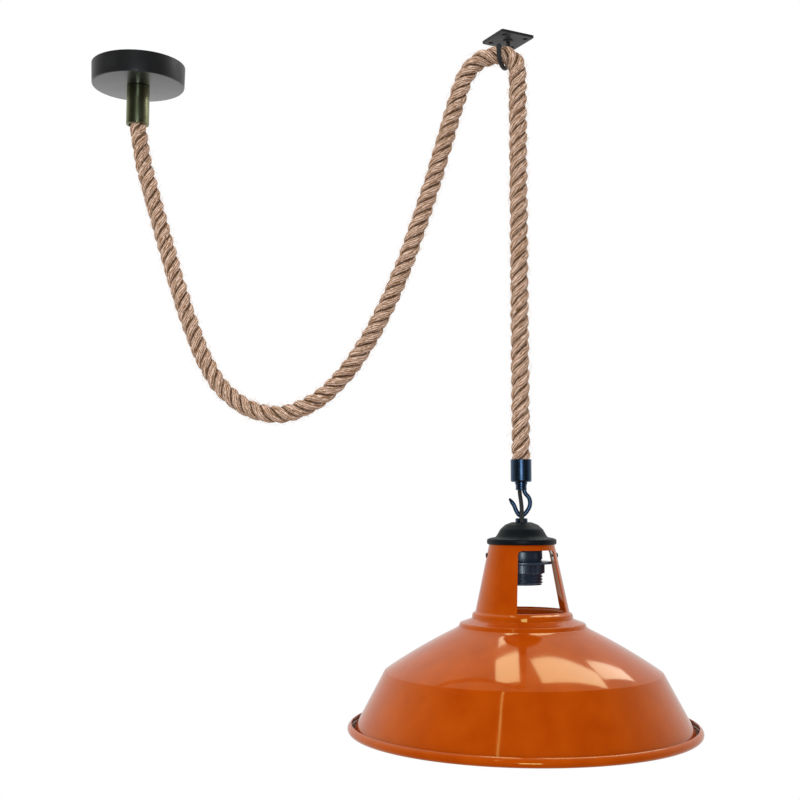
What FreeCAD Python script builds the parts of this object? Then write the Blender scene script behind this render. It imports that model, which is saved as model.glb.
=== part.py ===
import FreeCAD, Part
import math
import os

# Rise and fall pendant: a ceiling rose with a cord grip, a thick rope that swags up to a
# ceiling hook and drops from it, and an enamelled shade that hangs on the rope by a hook and
# a loop. Millimetres, +Z up. The origin is the centre of the rose on the ceiling; X runs
# from the rose towards the lamp, and Y away from the viewer.

V = FreeCAD.Vector
UP = V(0, 0, 1)

# ---- where things hang -----------------------------------------------------------------
lamp_x = 395.0
lamp_y = -91.0
swag_span = math.hypot(lamp_x, lamp_y)
swag_angle = math.degrees(math.atan2(lamp_y, lamp_x))

# ---- ceiling rose and its fixing ---------------------------------------------------------
rose_radius = 49.0
rose_height = 22.4
rose_wall = 1.4
rose_taper = 0.6
rose_edge_radius = 1.4
entry_radius = 5.0
strap_width = 18.0
strap_thickness = 1.5
strap_half_length = 41.0
strap_step_x = 15.0
strap_drop = 9.5
slot_spacing = 58.0
slot_width = 4.5
slot_length = 12.0
nipple_bore = 3.4
nipple_top = -5.0
nut_across_flats = 14.0
nut_height = 3.0
block_length = 30.0
block_width = 13.0
block_height = 12.0
block_y = 21.0
block_poles = 3
pole_pitch = 9.0
tunnel_height = 5.0
well_height = 7.0
well_radius = 2.1
block_screw_radius = 2.0
block_screw_length = 3.5

# ---- cord grip ---------------------------------------------------------------------------
grip_radius = 12.0
grip_end = -64.3
grip_thread_depth = 8.0
grip_rope_depth = 20.0
grip_bore = 9.45
set_screw_radius = 1.5
set_screw_z = grip_end + 9.0
flex_radius = 2.4
core_radius = 0.95
core_spread = 1.45
core_crest = 2.4

# ---- rope --------------------------------------------------------------------------------
rope_radius = 9.0
rope_start = grip_end + grip_rope_depth
drop_top = -44.5
# distance from the rose along the swag, and height; chosen by eye along the hanging rope
swag_route = [
    (0.0, rope_start),
    (0.0, -82.0),
    (28.0, -174.0),
    (57.0, -266.0),
    (87.0, -336.0),
    (122.0, -368.0),
    (163.0, -378.0),
    (205.0, -361.5),
    (243.0, -322.0),
    (282.0, -252.0),
    (316.0, -158.0),
    (341.0, -74.0),
    (351.5, -41.0),
    (365.0, -24.5),
    (381.0, -21.0),
    (396.5, -21.8),
    (swag_span, -31.5),
    (swag_span, drop_top),
]

# ---- hook on the ceiling -----------------------------------------------------------------
plate_side = 38.0
plate_thickness = 2.5
plate_hole_radius = 2.5
plate_hole_spacing = 24.6
plate_turn = 28.0
hook_wire = 2.2
hook_radius = 12.3
hook_centre_z = -21.9
hook_place = 391.5
hook_turn = -116.7
hook_collar_radius = 5.0
hook_collar_height = 1.6
hook_tip_radius = 2.7
hook_lip = 4.0
hook_tip_height = 4.3
hook_flats = 9

# ---- ferrule, neck, hook and loop of the link ----------------------------------------------
ferrule_radius = 10.0
ferrule_bore = 9.2
ferrule_top = -422.5
ferrule_bottom = -444.1
ferrule_floor = 3.0
rope_end = ferrule_bottom + ferrule_floor
ring_radius = 5.9
ring_height = 2.3
neck_radius = 5.3
neck_bottom = -451.8
shank_radius = 4.9
flex_bore = 2.2
flex_offset = -1.8
link_wire = 2.1
link_bend = 7.6
link_flats = 7
saddle_z = -475.9
shank_offset = 2.6
lip_lean = 2.6
lip_rise = 7.0
lip_length = 3.2
neck_groove = 0.5
loop_wire = 1.7
loop_gap = 0.5
loop_flats = 7
boss_radius = 5.8
boss_top = -478.7
link_flex_radius = 2.0
flex_bend_z = -468.0

# ---- cap ---------------------------------------------------------------------------------
cap_apex = -481.7
cap_bottom = -503.6
cap_wall = 1.6
cap_bead_radius = 33.1
flex_entry = (4.6, -6.8)
stud_radius = 5.0
stud_bottom = -516.0
stud_hollow_top = -488.0
stud_window_left = -2.2
stud_window_width = 8.0
stud_window_bottom = -505.5
stud_window_height = 17.0
# radius and height along the outside of the cap's dome and brim, then back along its inside
cap_outside = [
    (9.6, -482.4), (15.6, -484.8), (20.4, -489.2), (23.5, -492.4), (24.9, -496.4), (29.9, -497.4),
    (32.3, -498.5), (cap_bead_radius, -500.6), (32.5, -502.7), (31.0, cap_bottom),
]
cap_inside = [
    (28.4, cap_bottom), (28.4, -499.1), (23.5, -498.1), (22.0, -493.2), (19.2, -490.4), (14.9, -486.4),
    (9.2, -484.0),
]

# ---- shade: radii, and heights above the rim -------------------------------------------------
rim_z = -678.2
shade_wall = 1.2
neck_top_radius = 31.1
neck_foot = (44.4, 111.6)
first_bead = [(46.9, 109.9), (47.9, 106.4)]
bead_valley = (48.9, 104.0)
second_bead = [(54.0, 102.6), (58.7, 100.8), (60.6, 97.2)]
dome_start = (61.6, 96.2)
dome_middle = (97.6, 77.0)
dome_end = (129.0, 57.4)
knuckle = (130.8, 55.9)
skirt_end = (156.9, 9.8)
rim_centre = (159.6, 5.6)
rim_roll = 5.6
rim_sheet = 1.1
rim_turn = 285.0
rim_flats = 7
window_from = -12.0
window_to = 62.5
window_low = 112.4
window_high = 169.6
window_corner_top = 4.0

# ---- shade carrier and its screws ---------------------------------------------------------
carrier_top = -506.0
carrier_thickness = 1.5
carrier_width = 16.0
carrier_end = -519.0
carrier_clearance = 1.4
neck_screw_z = -514.0
neck_screw_radius = 1.5

# ---- lampholder ---------------------------------------------------------------------------
holder_radius = 19.5
holder_top = carrier_top - carrier_thickness
holder_joint = -517.5
holder_bottom = -541.5
holder_bore = 14.3
insert_bottom = -523.0
socket_screw_offset = 9.0
socket_screw_radius = 1.6
shell_inner = 13.3
shell_top = -527.9
shell_bottom = -539.5
ring_flange_radius = 28.9
ring_flange_top = -519.6
ring_flange_height = 2.2
ring_band_radius = 21.6
ring_band_bottom = -530.7
ring_grooves = 24


# ---- helpers -------------------------------------------------------------------------------
def revolved(points, angle=360.0):
    """Solid of revolution about Z of a closed outline in radius and height.

    A pair is a corner; a pair of pairs is an arc through the first to the second.
    """
    return Part.Face(outline(points, close=True)).revolve(V(0, 0, 0), UP, angle)


def outline(points, close=False):
    """Wire in the XZ plane through corners and arcs."""
    start = V(points[0][0], 0, points[0][1])
    here = start
    edges = []
    for item in points[1:]:
        if isinstance(item[0], tuple):
            middle = V(item[0][0], 0, item[0][1])
            end = V(item[1][0], 0, item[1][1])
            edges.append(Part.Arc(here, middle, end).toShape())
        else:
            end = V(item[0], 0, item[1])
            edges.append(Part.LineSegment(here, end).toShape())
        here = end
    if close and here.distanceToPoint(start) > 1e-6:
        edges.append(Part.LineSegment(here, start).toShape())
    return Part.Wire(edges)


def cylinder(radius, bottom, top, x=0.0, y=0.0):
    """Upright cylinder between two heights."""
    return Part.makeCylinder(radius, top - bottom, V(x, y, bottom))


def tube(outer, inner, bottom, top, x=0.0, y=0.0):
    """Upright tube between two heights."""
    return cylinder(outer, bottom, top, x, y).cut(cylinder(inner, bottom - 1, top + 1, x, y))


def hexagon(across_flats, bottom, top, bore):
    """Hexagon nut with a plain bore."""
    corner = across_flats / math.sqrt(3)
    rim = [V(corner * math.cos(math.radians(60 * i)), corner * math.sin(math.radians(60 * i)), bottom)
           for i in range(7)]
    body = Part.Face(Part.makePolygon(rim)).extrude(V(0, 0, top - bottom))
    return body.cut(cylinder(bore, bottom - 1, top + 1))


def rounded_path(points, share=0.45):
    """Straight runs joined by tangent arcs, and the radius of each arc.

    Each radius is the share of the shorter run divided by the tangent of half the turn.
    """
    edges = []
    radii = []
    here = points[0]
    for before, corner, after in zip(points, points[1:], points[2:]):
        into = corner.sub(before)
        out = after.sub(corner)
        reach = share * min(into.Length, out.Length)
        into.normalize()
        out.normalize()
        turn = into.getAngle(out)
        radius = reach / math.tan(turn / 2)
        entry = corner.sub(V(into).multiply(reach))
        leave = corner.add(V(out).multiply(reach))
        inward = V(out).sub(into)
        inward.normalize()
        middle = corner.add(inward.multiply(radius / math.cos(turn / 2) - radius))
        edges.append(Part.LineSegment(here, entry).toShape())
        edges.append(Part.Arc(entry, middle, leave).toShape())
        radii.append(radius)
        here = leave
    edges.append(Part.LineSegment(here, points[-1]).toShape())
    return Part.Wire(edges), radii


def swept(path, radius, mitred=0):
    """Round bar of a radius along a path; mitred is 1 where its runs meet at bare corners."""
    start = path.OrderedEdges[0]
    point = start.valueAt(start.FirstParameter)
    along = start.tangentAt(start.FirstParameter)
    ring = Part.Wire([Part.Circle(point, along, radius).toShape()])
    return path.makePipeShell([ring], True, False, mitred)


def flattened_bend(radius, height, flats):
    """Corners, in the XZ plane, of straight runs drawn round the lower half of a circle.

    Each corner is at the radius over the cosine of half a run's turn. The circle's centre is on
    the Z axis at the height, and its two upright sides are no part of the corners.
    """
    turn = math.pi / flats
    reach = radius / math.cos(turn / 2)
    return [V(-reach * math.cos((i + 0.5) * turn), 0, height - reach * math.sin((i + 0.5) * turn))
            for i in range(flats)]


def eased(points, share=0.4):
    """The same runs with each corner cut off by a short run, at a share of the shorter neighbour."""
    eased_points = [points[0]]
    for before, corner, after in zip(points, points[1:], points[2:]):
        into = before.sub(corner)
        out = after.sub(corner)
        reach = share * min(into.Length, out.Length)
        eased_points.append(corner.add(into.normalize().multiply(reach)))
        eased_points.append(corner.add(out.normalize().multiply(reach)))
    return eased_points + [points[-1]]


def swag_point(along, height):
    """Point of the upright plane that the rope hangs in."""
    angle = math.radians(swag_angle)
    return V(along * math.cos(angle), along * math.sin(angle), height)


def at_lamp(shape):
    """Moves a shape made on the Z axis to the axis that the lamp hangs on."""
    shape.translate(V(lamp_x, lamp_y, 0))
    return shape


# ---- ceiling rose ----------------------------------------------------------------------------
def ceiling_rose():
    """Spun steel cup, open to the ceiling, with a hole for the nipple in its floor."""
    foot = rose_radius - rose_taper
    edge = rose_edge_radius
    knee = edge * (1 - math.sqrt(0.5))
    cup = revolved([
        (entry_radius, -rose_height),
        (foot - edge, -rose_height),
        (foot - knee, -rose_height + knee),
        (foot, -rose_height + edge),
        (rose_radius, 0),
        (rose_radius - rose_wall, 0),
        (foot - rose_wall, -rose_height + rose_wall),
        (entry_radius, -rose_height + rose_wall),
    ])
    return cup


def mounting_bracket():
    """Top-hat strap: two slotted feet on the ceiling and a lowered middle for the nipple."""
    t = strap_thickness
    step = strap_step_x
    low = -strap_drop - t
    half = strap_half_length
    profile = [(-half, 0), (-half, -t), (-step - t, -t), (-step - t, low), (step + t, low),
               (step + t, -t), (half, -t), (half, 0), (step, 0), (step, low + t),
               (-step, low + t), (-step, 0)]
    strap = Part.Face(outline(profile, close=True)).extrude(V(0, strap_width, 0))
    strap.translate(V(0, -strap_width / 2, 0))
    bends = [e for e in strap.Edges if abs(e.Vertexes[0].X - e.Vertexes[-1].X) < 1e-6
             and abs(e.Length - strap_width) < 1e-6 and abs(abs(e.Vertexes[0].X) - step - t) < 1e-6]
    strap = strap.makeFillet(0.9, bends)
    for side in (-1, 1):
        strap = strap.cut(slot(side * slot_spacing / 2))
    return strap.cut(cylinder(entry_radius, low - 1, 1))


def slot(centre_x):
    """Cutter for one screw slot along X."""
    reach = slot_length / 2 - slot_width / 2
    middle = Part.makeBox(2 * reach, slot_width, 4, V(centre_x - reach, -slot_width / 2, -3))
    ends = [cylinder(slot_width / 2, -3, 1, centre_x + side * reach) for side in (-1, 1)]
    return middle.fuse(ends)


def bracket_nipple():
    """Hollow threaded tube through the bracket, the rose and the top of the cord grip."""
    return tube(entry_radius, nipple_bore, -rose_height - grip_thread_depth, nipple_top)


def nipple_nuts():
    """Two hexagon nuts that clamp the lowered middle of the bracket."""
    low = -strap_drop - strap_thickness
    above = hexagon(nut_across_flats, -strap_drop, -strap_drop + nut_height, entry_radius)
    below = hexagon(nut_across_flats, low - nut_height, low, entry_radius)
    return Part.makeCompound([above, below])


def terminal_block():
    """Moulded block on the rose's floor, with a wire tunnel and a screw well for each core."""
    floor = -rose_height + rose_wall
    block = Part.makeBox(block_length, block_width, block_height,
                         V(-block_length / 2, block_y - block_width / 2, floor))
    uprights = [e for e in block.Edges if abs(e.Vertexes[0].Z - e.Vertexes[-1].Z) > 1]
    block = block.makeFillet(1.2, uprights)
    for x in pole_places():
        start = V(x, block_y - block_width / 2 - 1, floor + tunnel_height)
        tunnel = Part.makeCylinder(1.5, block_width + 2, start, V(0, 1, 0))
        block = block.cut(tunnel).cut(cylinder(well_radius, floor + well_height, 0, x, block_y))
    return block


def pole_places():
    """X of each pole of the terminal block."""
    return [pole_pitch * (i - (block_poles - 1) / 2) for i in range(block_poles)]


def terminal_screws():
    """Slotted screws in the wells of the terminal block."""
    bottom = -rose_height + rose_wall + well_height
    screws = []
    for x in pole_places():
        screw = cylinder(block_screw_radius, bottom, bottom + block_screw_length, x, block_y)
        groove = Part.makeBox(5, 0.6, 1, V(x - 2.5, block_y - 0.3, bottom + block_screw_length - 0.7))
        screws.append(screw.cut(groove))
    return Part.makeCompound(screws)


def flex_tails():
    """Three cores from the end of the flex, over the nipple's mouth, into the terminal block."""
    tails = []
    entry_z = -rose_height + rose_wall + tunnel_height
    face = block_y - block_width / 2
    crest = nipple_top + core_crest
    for i, x in enumerate(pole_places()):
        angle = math.radians(90 + 120 * (1 - i))
        out_x = core_spread * math.cos(angle)
        out_y = core_spread * math.sin(angle)
        route = [V(out_x, out_y, -rose_height), V(out_x, out_y, crest), V(x * 0.7, 9.6, crest - 0.4),
                 V(x, face - 2.4, entry_z - 0.2), V(x, face + 2, entry_z)]
        tails.append(swept(Part.makePolygon(route), core_radius, 1))
    return Part.makeCompound(tails)


def supply_flex():
    """Sheathed flex inside the nipple and the cord grip; below it runs inside the rope."""
    return cylinder(flex_radius, rope_start, -rose_height)


def cord_grip():
    """Turned sleeve: a thread for the nipple on top and a deep bore that takes the rope."""
    top = -rose_height
    edge = 0.9
    grip = revolved([
        (entry_radius, top), (grip_radius - edge, top), (grip_radius, top - edge),
        (grip_radius, grip_end + edge), (grip_radius - edge, grip_end), (grip_bore + 0.5, grip_end),
        (grip_bore, grip_end + 0.5), (grip_bore, rope_start), (flex_radius + 0.6, rope_start),
        (flex_radius + 0.6, rope_start + 3), (entry_radius + 1, rope_start + 4),
        (entry_radius + 1, top - grip_thread_depth), (entry_radius, top - grip_thread_depth),
    ])
    return grip.cut(Part.makeCylinder(set_screw_radius, 8, V(0, 7, set_screw_z), V(0, 1, 0)))


def grip_set_screw():
    """Socket set screw in the back of the grip that bites on the rope."""
    screw = Part.makeCylinder(set_screw_radius, 2.3, V(0, grip_bore + 0.05, set_screw_z), V(0, 1, 0))
    corner = set_screw_radius * 0.6
    socket = [V(corner * math.cos(math.radians(60 * i)), grip_bore + 1.2,
                set_screw_z + corner * math.sin(math.radians(60 * i))) for i in range(7)]
    return screw.cut(Part.Face(Part.makePolygon(socket)).extrude(V(0, 3, 0)))


# ---- ceiling hook ----------------------------------------------------------------------------
def hook_frame(shape):
    """Turns a hook made in the XZ plane about its throat and moves it over the rope."""
    shape.rotate(V(0, 0, 0), UP, hook_turn)
    shape.translate(swag_point(hook_place, 0))
    return shape


def hook_plate():
    """Square plate with four screw holes and a riveted centre for the hook's stem."""
    half = plate_side / 2
    plate = Part.makeBox(plate_side, plate_side, plate_thickness, V(-half, -half, -plate_thickness))
    uprights = [e for e in plate.Edges if abs(e.Vertexes[0].Z - e.Vertexes[-1].Z) > 1]
    plate = plate.makeFillet(2.0, uprights)
    brim = [e for e in plate.Edges if e.BoundBox.ZMax < -plate_thickness + 0.01]
    plate = plate.makeChamfer(0.4, brim)
    offset = plate_hole_spacing / 2
    for x in (-offset, offset):
        for y in (-offset, offset):
            plate = plate.cut(cylinder(plate_hole_radius, -4, 1, x, y))
    plate = plate.cut(cylinder(hook_wire, -4, 1))
    plate.rotate(V(0, 0, 0), UP, plate_turn)
    stem = hook_frame(Part.Vertex(-hook_radius, 0, 0))
    plate.translate(V(stem.X, stem.Y, 0))
    return plate


def ceiling_hook():
    """Open hook of round bar: stem with a collar, round throat and a short lip with a bulb."""
    r = hook_radius
    z = hook_centre_z
    tip_z = z + hook_lip
    path = [V(-r, 0, 0)] + flattened_bend(r, z, hook_flats) + [V(r, 0, tip_z)]
    bar = swept(Part.makePolygon(path), hook_wire, 1)
    tip = revolved([(0, tip_z), (hook_wire, tip_z), (hook_tip_radius, tip_z + 1),
                    (hook_tip_radius, tip_z + hook_tip_height - 1.3),
                    (hook_wire, tip_z + hook_tip_height - 0.3), (0, tip_z + hook_tip_height)])
    tip.translate(V(r, 0, 0))
    collar = revolved([(0, -plate_thickness), (hook_collar_radius, -plate_thickness),
                       (hook_collar_radius, -plate_thickness - hook_collar_height * 0.5),
                       (hook_wire, -plate_thickness - hook_collar_height),
                       (0, -plate_thickness - hook_collar_height)])
    collar.translate(V(-r, 0, 0))
    return hook_frame(bar.fuse([tip, collar]).removeSplitter())


# ---- rope ------------------------------------------------------------------------------------
def rope_swag():
    """Rope from the cord grip, down in a deep swag, up and over the ceiling hook."""
    path, radii = rounded_path([swag_point(s, z) for s, z in swag_route])
    rope = swept(path, rope_radius)
    print("rope_swag radii", [round(r, 1) for r in radii])
    print("rope_swag length", round(path.Length, 1), "volume ratio",
          round(rope.Volume / (math.pi * rope_radius ** 2 * path.Length), 4))
    return rope


def rope_drop():
    """Rope pulled straight by the lamp, from the hook down into the ferrule."""
    print("rope_drop length", round(drop_top - rope_end, 1))
    return at_lamp(cylinder(rope_radius, rope_end, drop_top))


# ---- link ------------------------------------------------------------------------------------
def rope_ferrule():
    """Cup crimped on the rope's end, with a hole in its floor for the hook's shank."""
    bottom = ferrule_bottom
    edge = 1.0
    knee = edge * (1 - math.sqrt(0.5))
    cup = revolved([
        (shank_radius, bottom), (ferrule_radius - edge, bottom),
        (ferrule_radius - knee, bottom + knee), (ferrule_radius, bottom + edge),
        (ferrule_radius, ferrule_top - 0.3), (ferrule_radius - 0.3, ferrule_top),
        (ferrule_bore + 0.2, ferrule_top), (ferrule_bore, ferrule_top - 0.3),
        (ferrule_bore, rope_end), (shank_radius, rope_end),
    ])
    return at_lamp(cup)


def link_ring():
    """Thin ring nut between the ferrule and the neck of the hook."""
    nut = revolved([
        (shank_radius, ferrule_bottom), (ring_radius - 0.4, ferrule_bottom),
        (ring_radius, ferrule_bottom - 0.4), (ring_radius, ferrule_bottom - ring_height + 0.4),
        (ring_radius - 0.4, ferrule_bottom - ring_height), (shank_radius, ferrule_bottom - ring_height),
    ])
    return at_lamp(nut)


def link_hook():
    """Cast hook: hollow shank and grooved neck, and an open hook with a lip that flares out."""
    top = ferrule_bottom - ring_height
    groove = (top + neck_bottom) / 2
    waist = neck_radius - neck_groove
    neck = revolved([
        (0, rope_end), (shank_radius, rope_end), (shank_radius, top), (neck_radius, top),
        (neck_radius, groove + 0.6), (waist, groove + 0.3), (waist, groove - 0.3),
        (neck_radius, groove - 0.6), (neck_radius, neck_bottom + 0.4), (neck_radius - 0.4, neck_bottom),
        (0, neck_bottom),
    ])
    r = link_bend
    z = saddle_z + r
    x = shank_offset
    lip_start = V(-r - lip_lean, 0, z + lip_rise)
    shank = eased([V(x, 0, neck_bottom + 2), V(x, 0, neck_bottom - 2), V(r, 0, z + 8), V(r, 0, z + 2)])
    bottom = flattened_bend(r, z, link_flats)
    lip_run = eased([V(-r, 0, z + 1), V(-r, 0, z + 3), lip_start])
    bar = swept(Part.makePolygon(shank + bottom[::-1] + lip_run[1:]), link_wire, 1)
    lip_way = V(-lip_lean, 0, lip_rise - 3).normalize()
    lip = Part.makeCone(link_wire, link_wire * 0.5, lip_length, lip_start, lip_way)
    hook = neck.fuse([bar, lip]).removeSplitter()
    return at_lamp(hook.cut(cylinder(flex_bore, neck_bottom - 1, rope_end + 1, flex_offset)))


def link_flex():
    """Bare flex from the rope's core, in front of the link, into the cap and the hollow stud."""
    x, y = flex_entry
    route = [V(flex_offset, 0, rope_end), V(flex_offset, 0, neck_bottom - 3.6), V(x, y, flex_bend_z),
             V(x, y, -491.0), V(0, 0, cap_bottom), V(0, 0, stud_bottom)]
    path, radii = rounded_path(route)
    print("link_flex length", round(path.Length, 1), "radii", [round(r, 1) for r in radii])
    return at_lamp(swept(path, link_flex_radius))


def cap_loop():
    """Cast loop with a boss that sits on the cap, and a hollow stud through the cap."""
    reach = link_wire + loop_gap + loop_wire
    foot = boss_top - 0.5
    crown = [V(0, p.x, 2 * saddle_z - p.z) for p in flattened_bend(reach, saddle_z, loop_flats)]
    bow = swept(Part.makePolygon([V(0, -reach, foot)] + crown + [V(0, reach, foot)]), loop_wire, 1)
    seat = cap_apex - 0.7
    boss = revolved([(0, boss_top), (boss_radius - 0.6, boss_top), (boss_radius, boss_top - 0.6),
                     (boss_radius, seat), (stud_radius, seat), (stud_radius, stud_bottom),
                     (0, stud_bottom)])
    loop = boss.fuse(bow)
    hollow = cylinder(nipple_bore, stud_bottom - 1, stud_hollow_top)
    x, y = flex_entry
    window = Part.makeBox(stud_window_width, link_flex_radius - y, stud_window_height,
                          V(stud_window_left, y - link_flex_radius + 0.2, stud_window_bottom))
    return at_lamp(loop.cut(hollow).cut(window))


def gallery_cap():
    """Spun dome with a flat brim and a rolled edge that sits on the neck of the shade."""
    seat = cap_apex - 0.7
    dome = revolved([(stud_radius, seat)] + cap_outside + cap_inside + [(stud_radius, seat - cap_wall)])
    x, y = flex_entry
    return at_lamp(dome.cut(cylinder(link_flex_radius + 0.3, -492, -478, x, y)))


def loop_nuts():
    """Nut under the dome, and nut on the shade carrier."""
    seat = cap_apex - 0.7 - cap_wall
    upper = hexagon(nut_across_flats, seat - nut_height, seat, stud_radius)
    lower = hexagon(nut_across_flats, carrier_top, carrier_top + nut_height - 0.4, stud_radius)
    cut_out = cylinder(link_flex_radius + 0.4, -495, -478, *flex_entry)
    nuts = Part.makeCompound([upper.cut(cut_out), lower])
    return at_lamp(nuts)


# ---- shade -----------------------------------------------------------------------------------
def lifted(points):
    """Adds the rim's height to points given above the rim."""
    moved = []
    for item in points:
        if isinstance(item[0], tuple):
            moved.append(tuple((r, z + rim_z) for r, z in item))
        else:
            moved.append((item[0], item[1] + rim_z))
    return moved


def shade():
    """Spun steel shade: open neck with two windows, beads, dome, skirt and rolled rim."""
    top = cap_bottom - rim_z
    sheet = outline(lifted([(neck_top_radius, top), neck_foot] + first_bead + [bead_valley] + second_bead
                           + [dome_start, dome_middle, dome_end, knuckle, skirt_end]))
    # the wall lies inside the outline, and its corners meet without rounding
    strip = sheet.makeOffset2D(-shade_wall, 2, True, True)
    shell = Part.Face(strip.Wires[0]).revolve(V(0, 0, 0), UP, 360)
    shell = shell.fuse(rolled_rim())
    for side in (-1, 1):
        shell = shell.cut(window_cutter(side))
    for side in (-1, 1):
        hole = Part.makeCylinder(neck_screw_radius, 12, V(side * 27, 0, neck_screw_z), V(side, 0, 0))
        shell = shell.cut(hole)
    return at_lamp(shell.removeSplitter())


def rolled_rim():
    """The sheet's edge, curled outwards over the top and back under towards the skirt."""
    x, z = rim_centre
    start = math.atan2(skirt_end[1] - z, skirt_end[0] - x)
    turns = [start - math.radians(rim_turn * i / rim_flats) for i in range(rim_flats + 1)]
    outside = [(x + rim_roll * math.cos(a), z + rim_roll * math.sin(a)) for a in turns]
    inner = rim_roll - rim_sheet
    inside = [(x + inner * math.cos(a), z + inner * math.sin(a)) for a in reversed(turns)]
    return revolved(lifted(outside + inside))


def window_cutter(side):
    """Wedge for one window; side -1 is the front, where Y is negative, and 1 the back."""
    low = window_low + rim_z
    high = window_high + rim_z
    wedge = revolved([(20, low), (60, low), (60, high), (20, high)], window_to - window_from)
    radial = [e for e in wedge.Edges if abs(e.Length - 40) < 1e-6]
    upper = [e for e in radial if e.Vertexes[0].Z > low + 1]
    wedge = wedge.makeFillet(window_corner_top, upper)
    start = -90 + window_from if side < 0 else 90 - window_to
    wedge.rotate(V(0, 0, 0), UP, start)
    return wedge


def neck_radius_at(z):
    """Outer radius of the shade's neck at a height."""
    top = cap_bottom
    foot_z = neck_foot[1] + rim_z
    return neck_top_radius + (neck_foot[0] - neck_top_radius) * (top - z) / (top - foot_z)


def neck_slope():
    """Lean of the neck's wall from the upright, in degrees."""
    return math.degrees(math.atan2(neck_foot[0] - neck_top_radius, cap_bottom - neck_foot[1] - rim_z))


def shade_carrier():
    """Strap under the cap whose ends turn down inside the neck and take the neck screws."""
    t = carrier_thickness
    top = carrier_top
    lean = math.tan(math.radians(neck_slope()))
    shoulder = neck_radius_at(top) - shade_wall - carrier_clearance
    foot = shoulder + lean * (top - carrier_end)
    profile = [(-shoulder, top), (shoulder, top), (foot, carrier_end), (foot - t, carrier_end),
               (shoulder - t + 0.3, top - t), (-shoulder + t - 0.3, top - t), (-foot + t, carrier_end),
               (-foot, carrier_end)]
    strap = Part.Face(outline(profile, close=True)).extrude(V(0, carrier_width, 0))
    strap.translate(V(0, -carrier_width / 2, 0))
    bends = [e for e in strap.Edges if abs(e.Length - carrier_width) < 1e-6
             and abs(e.Vertexes[0].Z - top) < 1e-6 and abs(e.Vertexes[-1].Z - top) < 1e-6]
    strap = strap.makeFillet(1.2, bends)
    for side in (-1, 1):
        start = V(side * 26, 0, neck_screw_z)
        strap = strap.cut(Part.makeCylinder(neck_screw_radius, 12, start, V(side, 0, 0)))
    return at_lamp(strap.cut(cylinder(stud_radius, top - 4, top + 4)))


def neck_screws():
    """Two small round-headed screws through the neck into the ends of the carrier."""
    screws = []
    reach = neck_radius_at(neck_screw_z)
    for side in (-1, 1):
        start = V(side * (reach - 4.6), 0, neck_screw_z)
        shank = Part.makeCylinder(neck_screw_radius, 5.4, start, V(side, 0, 0))
        head = revolved([(0, 0.8), (2.7, 0.8), (2.1, 1.9), (1.1, 2.4), (0, 2.4)])
        head.rotate(V(0, 0, 0), V(0, 1, 0), side * 90)
        head.translate(V(side * (reach - 0.1), 0, neck_screw_z))
        screws.append(shank.fuse(head).removeSplitter())
    return at_lamp(Part.makeCompound(screws))


# ---- lampholder --------------------------------------------------------------------------------
def lampholder_cap():
    """Upper half of the lampholder, screwed on the stud, with room for the terminals."""
    shoulder = 2.6
    knee = shoulder * (1 - math.sqrt(0.5))
    cap = revolved([
        (stud_radius, holder_top), (holder_radius - shoulder, holder_top),
        (holder_radius - knee, holder_top - knee), (holder_radius, holder_top - shoulder),
        (holder_radius, holder_joint), (16.5, holder_joint), (16.5, holder_top - 3.0),
        (8.0, holder_top - 3.0), (8.0, holder_top - 6.5), (stud_radius, holder_top - 6.5),
    ])
    return at_lamp(cap)


def lampholder_body():
    """Lower half of the lampholder, threaded outside for the shade ring."""
    groove = 0.7
    body = [(holder_bore, holder_bottom), (holder_radius - groove, holder_bottom),
            (holder_radius, holder_bottom + groove), (holder_radius, holder_joint),
            (holder_bore, holder_joint)]
    return at_lamp(revolved(body))


def socket_insert():
    """Ceramic puck that carries the contacts and closes the body above the screw shell."""
    puck = cylinder(holder_bore, insert_bottom, holder_joint)
    for side in (-1, 1):
        x = side * socket_screw_offset
        puck = puck.cut(cylinder(socket_screw_radius, insert_bottom - 1, holder_joint + 1, x))
    return at_lamp(puck)


def socket_screws():
    """Terminal screws on top of the insert, for the flex."""
    screws = []
    for side in (-1, 1):
        x = side * socket_screw_offset
        screw = cylinder(socket_screw_radius, insert_bottom + 1, holder_joint, x)
        head = cylinder(2.8, holder_joint, holder_joint + 2.2, x)
        groove = Part.makeBox(6, 0.8, 1, V(x - 3, -0.4, holder_joint + 1.5))
        screws.append(screw.fuse(head).cut(groove).removeSplitter())
    return at_lamp(Part.makeCompound(screws))


def screw_shell():
    """Thin metal shell that the lamp's cap screws into."""
    return at_lamp(tube(holder_bore, shell_inner, shell_bottom, shell_top))


def centre_contact():
    """Springy tongue at the bottom of the socket."""
    top = insert_bottom
    foot = top - 0.5
    tongue = Part.Face(outline([
        (-7.0, top), (7.0, top), (7.0, foot), (5.4, foot), (-0.8, foot - 4.2), (-4.0, foot - 4.2),
        (-4.0, foot - 3.7), (-1.0, foot - 3.7), (4.6, foot), (-7.0, foot),
    ], close=True)).extrude(V(0, 5, 0))
    tongue.translate(V(0, -2.5, 0))
    return at_lamp(tongue)


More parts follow.
